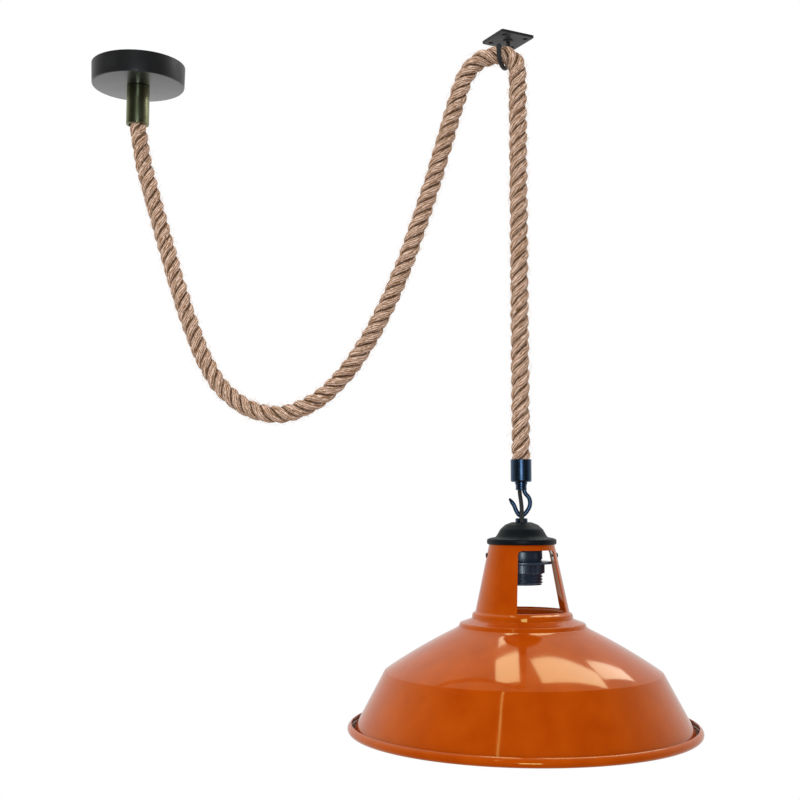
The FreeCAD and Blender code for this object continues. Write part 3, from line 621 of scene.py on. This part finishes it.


# ---- Link flex ------------------------------------------------------------------------------
# The bare black flex that comes out of the neck, passes in front of the link and goes down
# into the cap.
flex_left, flex_front = 0.0018, 0.0084
flex_route = [
    (lamp_x - flex_left, lamp_y, -0.4411), (lamp_x - flex_left, lamp_y, -0.4540),
    (lamp_x - 0.0008, lamp_y - flex_front, -0.4640), (lamp_x - 0.0002, lamp_y - 0.0086, -0.4780),
    (lamp_x, lamp_y - flex_front, -0.4910), (lamp_x, lamp_y, -0.5035), (lamp_x, lamp_y, -0.5160),
]
flex_line, _ = evenly(line_along(flex_route), step=0.001)
flex = bent_bar("link_flex_sheath", flex_line, 0.002, black_sheath, around=20)
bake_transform(flex)
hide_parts("link_flex")


# ---- Cap loop -------------------------------------------------------------------------------
# A cast eye on a round boss, plated the same blue-black. Its threaded stud goes through the cap
# and the carrier and holds the lampholder.
loop_wire, loop_reach = 0.0017, 0.0043
loop_turn = np.linspace(0.0, np.pi, 30)
loop_line = np.concatenate([
    [[-loop_reach, z] for z in np.linspace(-0.4792, saddle_z, 6, endpoint=False)],
    np.stack([-loop_reach * np.cos(loop_turn), saddle_z + loop_reach * np.sin(loop_turn)], -1),
    [[loop_reach, z] for z in np.linspace(saddle_z, -0.4792, 7)[1:]],
])
loop_points = np.stack([np.full(len(loop_line), lamp_x), lamp_y + loop_line[:, 0], loop_line[:, 1]], -1)
loop = bent_bar("cap_eye", loop_points, loop_wire, blue_black, around=24)
boss = mesh_piece("cap_boss", *turned(softened([
    (0.0005, -0.4787), (0.0058, -0.4787, 0.0009), (0.0058, -0.4824, 0.0003), (0.005, -0.4824),
    (0.005, -0.4880), (0.0034, -0.4880), (0.0034, -0.4840), (0.0005, -0.4840),
]), centre=lamp_axis, steps=64), blue_black)
stud = mesh_piece("cap_stud", *turned([
    (0.0034, -0.5160), (0.0050, -0.5160), (0.0050, -0.5056), (0.0034, -0.5056),
], centre=lamp_axis, steps=48), zinc)
for piece in (loop, boss, stud):
    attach(piece, "lamp")
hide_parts("cap_loop")


# ---- Gallery cap ----------------------------------------------------------------------------
# A small dome spun from steel, with a flat brim and a rolled edge that closes the neck of the
# shade. It is sprayed matt black.
cap_black = coat("matt_black_cap", (0.003, 0.005, 0.006), (0.005, 0.008, 0.010), 0.40, 0.52,
                 1500.0, 0.00004, mirror=0.18)
cap = mesh_piece("cap_dome", *turned(softened([
    (0.0050, -0.4824), (0.0093, -0.4824, 0.004), (0.0156, -0.4848, 0.006), (0.0204, -0.4892, 0.006),
    (0.0235, -0.4947, 0.004), (0.0249, -0.4965, 0.0012), (0.0296, -0.4974, 0.002),
    (0.0331, -0.4986, 0.0018), (0.0331, -0.5036, 0.0018), (0.0284, -0.5036, 0.0003),
    (0.0284, -0.4991, 0.0004), (0.0235, -0.4981, 0.0012), (0.0220, -0.4955, 0.003),
    (0.0192, -0.4904, 0.004), (0.0149, -0.4864, 0.004), (0.0092, -0.4840, 0.003), (0.0050, -0.4840),
]), centre=lamp_axis, steps=128), cap_black)
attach(cap, "lamp")
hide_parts("gallery_cap")


# ---- Shade ----------------------------------------------------------------------------------
# Sheet steel spun over a former: an open neck with two windows, two beads, a shallow dome, a
# steep skirt, and a rim curled up into an open gutter. It is enamelled orange inside and out.
# Its outline gives each point's distance from the axis and its height above the rim.
rim_z = -0.6782
shade_wall = 0.0012
window_from, window_to = -12.0, 62.5
window_low, window_high, window_corner = 0.1124, 0.1696, 0.0040


def enamel_finish(name, deep, light):
    """Wet-looking enamel: a saturated colour whose gloss ripples slightly, with painted shade in the gutter
    of its rim.
    """
    material = bpy.data.materials.new(name)
    material.use_nodes = True
    tree = material.node_tree
    shader = tree.nodes["Principled BSDF"]
    shader.inputs["Specular IOR Level"].default_value = 0.7
    shader.inputs["Specular Tint"].default_value = (1.0, 0.84, 0.22, 1.0)
    texture = tree.nodes.new("ShaderNodeGroup")
    texture.node_tree = paint_grain
    texture.inputs["Grain per metre"].default_value = 150.0
    texture.inputs["Smoothest"].default_value = 0.06
    texture.inputs["Roughest"].default_value = 0.10
    colour = tree.nodes.new("ShaderNodeValToRGB")
    colour.color_ramp.elements[0].position = 0.3
    colour.color_ramp.elements[0].color = (*deep, 1.0)
    colour.color_ramp.elements[1].position = 0.7
    colour.color_ramp.elements[1].color = (*light, 1.0)
    bump = tree.nodes.new("ShaderNodeBump")
    bump.inputs["Strength"].default_value = 0.05
    bump.inputs["Distance"].default_value = 0.0002
    # Painted shade: a near-black brown is mixed into the colour along the rim's gutter, where the shadow
    # falls.
    gutter_shade = tree.nodes.new("ShaderNodeAttribute")
    gutter_shade.attribute_name = "gutter_shade"
    painted_gutter_shade = tree.nodes.new("ShaderNodeMix")
    painted_gutter_shade.data_type = "RGBA"
    painted_gutter_shade.inputs[7].default_value = (0.035, 0.010, 0.003, 1.0)
    tree.links.new(texture.outputs["Patches"], colour.inputs["Fac"])
    tree.links.new(gutter_shade.outputs["Fac"], painted_gutter_shade.inputs["Factor"])
    tree.links.new(colour.outputs["Color"], painted_gutter_shade.inputs[6])
    tree.links.new(painted_gutter_shade.outputs[2], shader.inputs["Base Color"])
    tree.links.new(texture.outputs["Roughness"], shader.inputs["Roughness"])
    tree.links.new(texture.outputs["Height"], bump.inputs["Height"])
    tree.links.new(bump.outputs["Normal"], shader.inputs["Normal"])
    return material


orange = enamel_finish("orange_enamel", (0.345, 0.042, 0.0005), (0.41, 0.057, 0.001))


def arc_through(first, middle, last, count):
    """Points on the circle through three points of the sheet's outline.

    The centre is as far from all three, and the first point's arm from it is turned in even
    steps until it reaches the last point.
    """
    (ax, ay), (bx, by), (cx, cy) = first, middle, last
    a_square, b_square, c_square = ax * ax + ay * ay, bx * bx + by * by, cx * cx + cy * cy
    double_area = 2 * (ax * (by - cy) + bx * (cy - ay) + cx * (ay - by))
    centre = np.array([
        a_square * (by - cy) + b_square * (cy - ay) + c_square * (ay - by),
        a_square * (cx - bx) + b_square * (ax - cx) + c_square * (bx - ax),
    ]) / double_area
    arm, last_arm = np.array(first) - centre, np.array(last) - centre
    swing = math.atan2(arm[0] * last_arm[1] - arm[1] * last_arm[0], float(arm @ last_arm))
    turn = np.linspace(0.0, swing, count)[:, None]
    return centre + np.cos(turn) * arm + np.sin(turn) * np.array([-arm[1], arm[0]])


def arc_about(centre, radius, turn):
    """Points at a radius from a centre of the outline, one for each turn from its outward side."""
    return np.stack([centre[0] + radius * np.cos(turn), centre[1] + radius * np.sin(turn)], -1)


bead_corners = [
    (0.0444, 0.1116, 0.0018), (0.0474, 0.1096, 0.0022), (0.0480, 0.1050, 0.0012),
    (0.0540, 0.1026, 0.0015), (0.0592, 0.1010, 0.0022), (0.0606, 0.0972, 0.0012),
]
dome = arc_through((0.0616, 0.0962), (0.0980, 0.0768), (0.1290, 0.0574), 24)
beads = softened([(0.0430, 0.1180)] + bead_corners + [tuple(dome[2])])[1:-1]
skirt_foot = np.array([0.1595, 0.0025])
shoulder = softened([tuple(dome[-3]), (0.1308, 0.0560, 0.0016), tuple(skirt_foot)])[1:-1]
skirt_share = np.concatenate([np.linspace(0.0, 0.93, 11), [0.955, 0.972, 0.984, 0.992]])[:, None]
skirt = np.array([0.1325, 0.0530]) * (1 - skirt_share) + skirt_foot * skirt_share
curl = arc_about((0.1618, 0.0038), 0.0026, np.radians(np.linspace(-151.7, 20.0, 20)))
lip = arc_about((0.1604, 0.0033), 0.0041, np.radians(np.linspace(20.0, 75.0, 6)[1:]))
sheet = np.concatenate([beads, dome[1:-2], shoulder, skirt, curl, lip])
sheet[:, 1] += rim_z


def thick_sheet(line, wall):
    """The outline of a sheet's section: its outer line, and the same line moved in by the wall."""
    ahead = np.gradient(line, axis=0)
    ahead /= np.linalg.norm(ahead, axis=1)[:, None]
    inward = np.stack([ahead[:, 1], -ahead[:, 0]], -1)
    return np.concatenate([line, (line + wall * inward)[::-1]])


neck_top, neck_foot = np.array([0.0311, -0.5036]), np.array([0.0444, 0.1116 + rim_z])


def about_lamp(radius, turn, height):
    """Points at a radius, a turn and a height about the lamp's upright axis."""
    x = lamp_x + radius * np.cos(turn)
    return np.stack([x, lamp_y + radius * np.sin(turn), height + 0 * turn], -1)


def neck_wall():
    """The cone of the neck with two windows cut out.

    Point (i, j) lies on the cone at height share i and turn j, on the outer wall and then on the
    inner one. Faces inside a window are left out, and walls join the two skins round each opening.
    Grid lines beside a window's rounded upper corners are pulled onto the arcs of those corners.
    """
    high, low = window_high + rim_z, window_low + rim_z
    heights = np.unique(np.concatenate([
        np.linspace(neck_top[1], high, 6), np.linspace(high, high - window_corner, 9),
        np.linspace(high - window_corner, low, 40), np.linspace(low, neck_foot[1] + 0.0006, 3),
    ]))[::-1]
    share = (neck_top[1] - heights) / (neck_top[1] - neck_foot[1])
    radius = neck_top[0] + share * (neck_foot[0] - neck_top[0])
    span = math.radians(window_to - window_from)
    front = math.radians(-90 + window_from)
    back = math.radians(90 - window_to)
    wide, narrow, rest = 80, 24, 84
    openings = ((0, wide), (wide + narrow, 2 * wide + narrow))
    turn = np.concatenate([
        np.linspace(front, front + span, wide + 1)[:-1],
        np.linspace(front + span, back, narrow + 1)[:-1],
        np.linspace(back, back + span, wide + 1)[:-1],
        np.linspace(back + span, front + 2 * math.pi, rest + 1)[:-1],
    ])
    turns = np.repeat(turn[None], len(heights), 0)
    below = high - heights
    arc = np.sqrt(np.maximum(window_corner ** 2 - (window_corner - below) ** 2, 0))
    inset = np.where((below >= 0) & (below < window_corner), window_corner - arc, 0.0)
    inset[below < -1e-9] = window_corner
    inset = inset / radius
    for first, last in openings:
        middle = (turn[first] + turn[last]) / 2
        squeeze = (span / 2 - inset[:, None]) / (span / 2)
        turns[:, first:last + 1] = middle + (turn[first:last + 1] - middle) * squeeze
    points = np.concatenate([
        about_lamp(radius[:, None] - wall, turns, heights[:, None]).reshape(-1, 3)
        for wall in (0.0, shade_wall)
    ])
    rows, columns = turns.shape
    i, j = np.meshgrid(np.arange(rows - 1), np.arange(columns), indexing="ij")
    solid = np.ones((rows - 1, columns), bool)
    high_row = int(np.argmin(np.abs(heights - high)))
    low_row = int(np.argmin(np.abs(heights - low)))
    for first, last in openings:
        solid[high_row:low_row, first:last] = False
    a = (i * columns + j)[solid]
    b = (i * columns + (j + 1) % columns)[solid]
    quads = np.stack([a, a + columns, b + columns, b], -1)
    behind = rows * columns
    edges = np.concatenate([quads[:, [k, (k + 1) % 4]] for k in range(4)])
    _, place, seen = np.unique(np.sort(edges, 1), axis=0, return_index=True, return_counts=True)
    rim = edges[place[seen == 1]]
    walls = np.stack([rim[:, 1], rim[:, 0], rim[:, 0] + behind, rim[:, 1] + behind], -1)
    return points, np.concatenate([quads, quads[:, ::-1] + behind, walls])


neck_piece = mesh_piece("shade_neck", *neck_wall(), orange, 35.0)
body_outline = thick_sheet(sheet, shade_wall)
body = mesh_piece("shade_body", *turned(body_outline, centre=lamp_axis, steps=360), orange, 60.0)
spots = np.empty(len(body.data.vertices) * 3)
body.data.vertices.foreach_get("co", spots)
spots = spots.reshape(-1, 3)
out = np.hypot(spots[:, 0] - lamp_x, spots[:, 1] - lamp_y)
above = spots[:, 2] - rim_z
# Painted shade: a mask that is strongest in the gutter between the skirt and the curled rim, where the
# shadow falls; the finish darkens the enamel there.
gutter_shade_out, gutter_shade_above, gutter_shade_reach, gutter_shade_floor = 0.1612, 0.0022, 0.0024, 0.0008
far = np.hypot(out - gutter_shade_out, above - gutter_shade_above)
gutter_shade_mask = 0.95 * np.exp(-(far / gutter_shade_reach) ** 4) * (above > gutter_shade_floor)
gutter_shade_layer = body.data.attributes.new("gutter_shade", "FLOAT", "POINT")
gutter_shade_layer.data.foreach_set("value", gutter_shade_mask.astype(np.float32))
for piece in (neck_piece, body):
    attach(piece, "lamp")
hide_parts("shade")


# ---- Carrier and neck screws -----------------------------------------------------------------
# A zinc plated strap across the top of the neck, clamped on the stud. Two black screws through
# the neck hold the shade on its turned-down ends.
finish_as(zinc, "shade_carrier", "loop_nuts")
screw_z = -0.514
screw_share = (neck_top[1] - screw_z) / (neck_top[1] - neck_foot[1])
screw_reach = neck_top[0] + (neck_foot[0] - neck_top[0]) * screw_share
for side, name in ((-1, "neck_screw_left"), (1, "neck_screw_right")):
    places, faces = turned(softened([
        (0.0001, 0.0013), (0.0012, 0.0012), (0.0026, 0.0006, 0.0006), (0.0027, -0.0001),
        (0.00145, -0.0001), (0.00145, -0.0050), (0.0001, -0.0050),
    ], 3), steps=40)
    places = np.stack([lamp_x + side * (screw_reach + places[:, 2]), lamp_y + side * places[:, 1],
                       screw_z + places[:, 0]], -1)
    screw = mesh_piece(name, places, faces[:, ::-1], matt_black)
    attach(screw, "lamp")
    if side > 0:
        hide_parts("neck_screws")


# ---- Lampholder -----------------------------------------------------------------------------
# Black phenolic moulding in two halves: a plain cap on the stud, and a body with a coarse
# outside thread for the shade ring. The screw shell is pressed aluminium on a ceramic insert.
phenolic = coat("black_phenolic", (0.010, 0.019, 0.036), (0.017, 0.031, 0.055), 0.22, 0.32,
                1100.0, 0.00003, mirror=1.0)
ceramic = coat("steatite", (0.70, 0.68, 0.62), (0.80, 0.78, 0.72), 0.5, 0.65, 1400.0, 0.00004)
aluminium = coat("pressed_aluminium", (0.60, 0.60, 0.61), (0.74, 0.74, 0.75), 0.25, 0.4,
                 900.0, 0.00003, metal=1.0)
finish_as(ceramic, "socket_insert")
finish_as(brass, "socket_screws", "centre_contact")
finish_as(aluminium, "screw_shell")
holder_cap = mesh_piece("holder_cap", *turned(softened([
    (0.005, -0.5075), (0.0195, -0.5075, 0.0030), (0.0195, -0.5175, 0.0003), (0.0165, -0.5175),
    (0.0165, -0.5105), (0.008, -0.5105), (0.008, -0.5140), (0.005, -0.5140),
]), centre=lamp_axis, steps=96), phenolic)
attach(holder_cap, "lamp")
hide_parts("lampholder_cap")


def threaded_sleeve(outer, inner, top, bottom, pitch, depth, around=96, steps=10):
    """Sleeve whose outer wall is a coarse thread.

    The outer radius is a wave of the height plus the turn's share of a pitch, so the ridge climbs
    one pitch a turn; the wave dies away at both ends.
    """
    rows = int(round((top - bottom) / pitch * steps)) + 1
    height = np.linspace(bottom, top, rows)
    turn = np.linspace(0.0, 2 * np.pi, around, endpoint=False)
    wave = 0.5 - 0.5 * np.cos(2 * np.pi * (height[:, None] / pitch - turn / (2 * np.pi)))
    fade = np.clip(np.minimum(height - bottom, top - height) / (0.6 * pitch), 0, 1)[:, None]
    radius = outer - depth * (1 - wave * fade)
    outside = about_lamp(radius, turn, height[:, None])
    bore = np.array([about_lamp(inner, turn, z) for z in (top, bottom)])
    grid = np.concatenate([outside, bore])
    return grid.reshape(-1, 3), closed_grid(len(grid), around)


sleeve = threaded_sleeve(outer=0.0197, inner=0.0143, top=-0.5175, bottom=-0.5415, pitch=0.0028,
                         depth=0.0011)
holder_body = mesh_piece("holder_body", *sleeve, phenolic, 60.0)
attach(holder_body, "lamp")
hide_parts("lampholder_body")


# ---- Shade ring -----------------------------------------------------------------------------
# A moulded ring nut on the lampholder's thread: a wide thin flange above a band with grips for
# the fingers.


def gripped_ring(around=288):
    """Flange and band. The band's outer radius dips in grooves, where a cosine of the turn tops out."""
    grips, dip_depth = 24, 0.0008
    turn = np.linspace(0.0, 2 * np.pi, around, endpoint=False)
    dip = dip_depth * np.clip(np.cos(grips * turn) * 3 - 1.6, 0, 1)
    section = softened([
        (0.0198, -0.5196), (0.0289, -0.5196, 0.0006), (0.0289, -0.5218, 0.0006), (0.0216, -0.5218, 0.0003),
        (0.0216, -0.5230), (0.0216, -0.5300), (0.0210, -0.5307, 0.0002), (0.0198, -0.5307),
    ], 3)[::-1]
    grooved = (section[:, 1] < -0.5228) & (section[:, 0] > 0.0205)
    radius = section[:, :1] - grooved[:, None] * dip
    return about_lamp(radius, turn, section[:, 1:]).reshape(-1, 3), closed_grid(len(section), around)


shade_ring = mesh_piece("ring_nut", *gripped_ring(), phenolic, 40.0)
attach(shade_ring, "lamp")
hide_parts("shade_ring")


# ---- Studio ---------------------------------------------------------------------------------
# A plain white room, even on matt surfaces. What shiny ones mirror is bright behind the pendant
# and dim behind the camera, with panels overhead and a narrow strip and a window in front. The
# camera sees pure white behind the object.
bpy.context.scene.view_settings.view_transform = "Standard"
world = bpy.data.worlds.new("studio")
bpy.context.scene.world = world
world.use_nodes = True
tree = world.node_tree
link = tree.links.new
room = tree.nodes["Background"]
room.inputs["Color"].default_value = (1.0, 1.0, 1.0, 1.0)
mirrored = tree.nodes.new("ShaderNodeBackground")
mirrored.inputs["Color"].default_value = (1.0, 1.0, 1.0, 1.0)
way = tree.nodes.new("ShaderNodeTexCoord")
parts = tree.nodes.new("ShaderNodeSeparateXYZ")
depth_light = tree.nodes.new("ShaderNodeMapRange")
depth_light.interpolation_type = "SMOOTHSTEP"
depth_light.inputs["From Min"].default_value = -0.55
depth_light.inputs["From Max"].default_value = 0.75
depth_light.inputs["To Min"].default_value = 0.03
depth_light.inputs["To Max"].default_value = 0.80
height_light = tree.nodes.new("ShaderNodeMapRange")
height_light.inputs["From Min"].default_value = -0.7
height_light.inputs["From Max"].default_value = 0.8
height_light.inputs["To Min"].default_value = 0.66
height_light.inputs["To Max"].default_value = 1.05
white = tree.nodes.new("ShaderNodeBackground")
white.inputs["Color"].default_value = (1.0, 1.0, 1.0, 1.0)
white.inputs["Strength"].default_value = 1.0
seen = tree.nodes.new("ShaderNodeLightPath")
gloss_choice = tree.nodes.new("ShaderNodeMixShader")
camera_choice = tree.nodes.new("ShaderNodeMixShader")
link(way.outputs["Generated"], parts.inputs["Vector"])
link(parts.outputs["Y"], depth_light.inputs["Value"])
link(parts.outputs["Z"], height_light.inputs["Value"])
link(height_light.outputs["Result"], room.inputs["Strength"])
link(depth_light.outputs["Result"], mirrored.inputs["Strength"])
link(seen.outputs["Is Glossy Ray"], gloss_choice.inputs["Fac"])
link(room.outputs["Background"], gloss_choice.inputs[1])
link(mirrored.outputs["Background"], gloss_choice.inputs[2])
link(seen.outputs["Is Camera Ray"], camera_choice.inputs["Fac"])
link(gloss_choice.outputs["Shader"], camera_choice.inputs[1])
link(white.outputs["Background"], camera_choice.inputs[2])
link(camera_choice.outputs["Shader"], tree.nodes["World Output"].inputs["Surface"])


def soft_box(name, place, aim, width, height, power, turn=0.0, colour=(1.0, 1.0, 1.0), mirrored=True):
    """Rectangular lamp that faces a point; cameras don't see it, nor do mirrors if it says so."""
    data = bpy.data.lights.new(name, "AREA")
    data.shape = "RECTANGLE"
    data.size, data.size_y = width, height
    data.energy = power
    data.color = colour
    box = bpy.data.objects.new(name, data)
    box.visible_camera = False
    box.visible_glossy = mirrored
    bpy.context.scene.collection.objects.link(box)
    box.location = place
    x, y, z = np.array(place) - np.array(aim)
    lean = math.atan2(x, -y) if abs(x) + abs(y) > 1e-6 else 0.0
    box.rotation_euler = (math.acos(z / math.sqrt(x * x + y * y + z * z)), 0.0, lean + math.radians(turn))


soft_box("panel_left", (0.325, 0.155, 0.30), (0.325, 0.155, -1.0), 0.17, 0.21, 0.50)
soft_box("panel_left_back", (0.33, 0.42, 0.30), (0.33, 0.42, -1.0), 0.15, 0.12, 0.22)
soft_box("panel_right", (0.75, 0.21, 0.30), (0.75, 0.21, -1.0), 0.52, 0.17, 1.2, turn=22.0)
soft_box("panel_right_back", (1.12, 0.62, 0.30), (1.12, 0.62, -1.0), 0.55, 0.12, 0.8, turn=52.0)
soft_box("strip", (-0.01, -1.0, 0.30), (0.35, -0.2, -0.65), 0.025, 0.5, 0.16)
soft_box("left_fill", (-1.5, -1.5, 0.3), (0.2, 0.0, -0.3), 0.6, 1.6, 14.0, mirrored=False)
soft_box("top_fill", (0.2, -0.6, 1.6), (0.3, -0.1, -0.3), 1.0, 0.4, 4.0, mirrored=False)
soft_box("window", (0.33, -2.3, -0.40), (0.395, -0.091, -0.45), 0.5, 0.9, 12.0, colour=(0.70, 0.85, 1.0))
